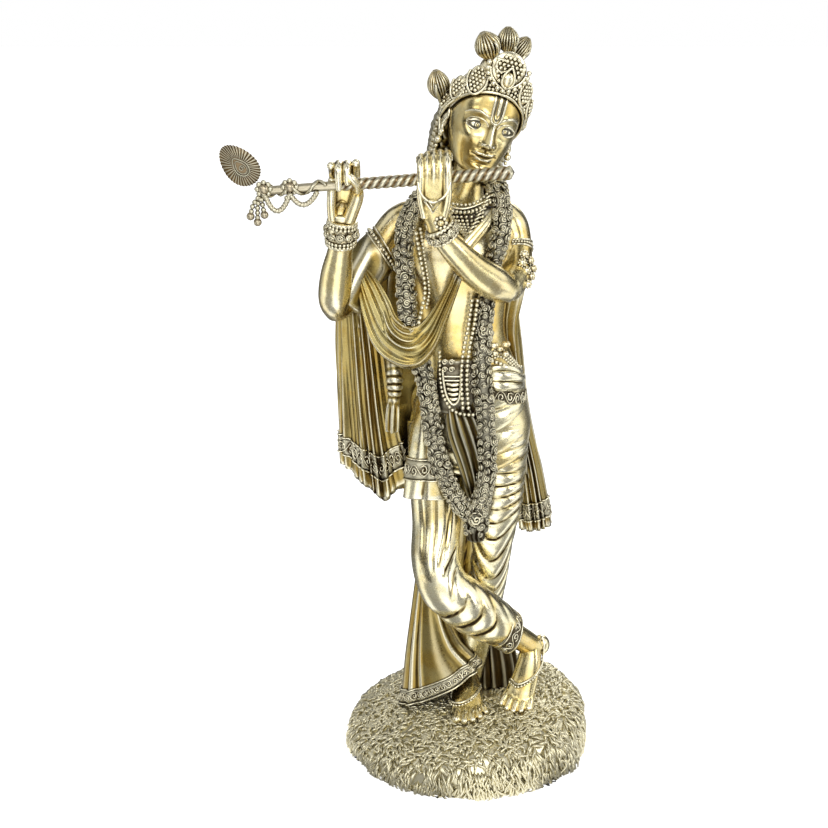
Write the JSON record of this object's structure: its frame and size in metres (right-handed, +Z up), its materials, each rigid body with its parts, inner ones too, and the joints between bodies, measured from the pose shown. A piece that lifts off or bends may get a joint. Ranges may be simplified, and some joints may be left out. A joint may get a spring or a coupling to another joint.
{
  "type": "krishna figure",
  "caption": "Cast brass standing figure in draped robes and a beaded crown, legs crossed on a grassy mound, holding a twisted flute; stands on a flat underside as decoration.",
  "frame": {"origin": "centre of the mound's flat underside", "axes": "+Z up from the underside to the feathers, the figure faces -Y, +X towards the figure's own left"},
  "size_m": [0.2611, 0.1801, 0.5511],
  "materials": {
    "polished_brass": "polished pale gold with dark antique patina left in the recesses",
    "turf_brass": "bright textured turf with brown patina between the blades",
    "rosy_brass": "satin, a little redder, with dark patina in the twist"
  },
  "bodies": {
    "root": {"krishna_figure": "polished_brass", "grass_mound": "turf_brass", "flute": "rosy_brass"}
  },
  "joints": []
}
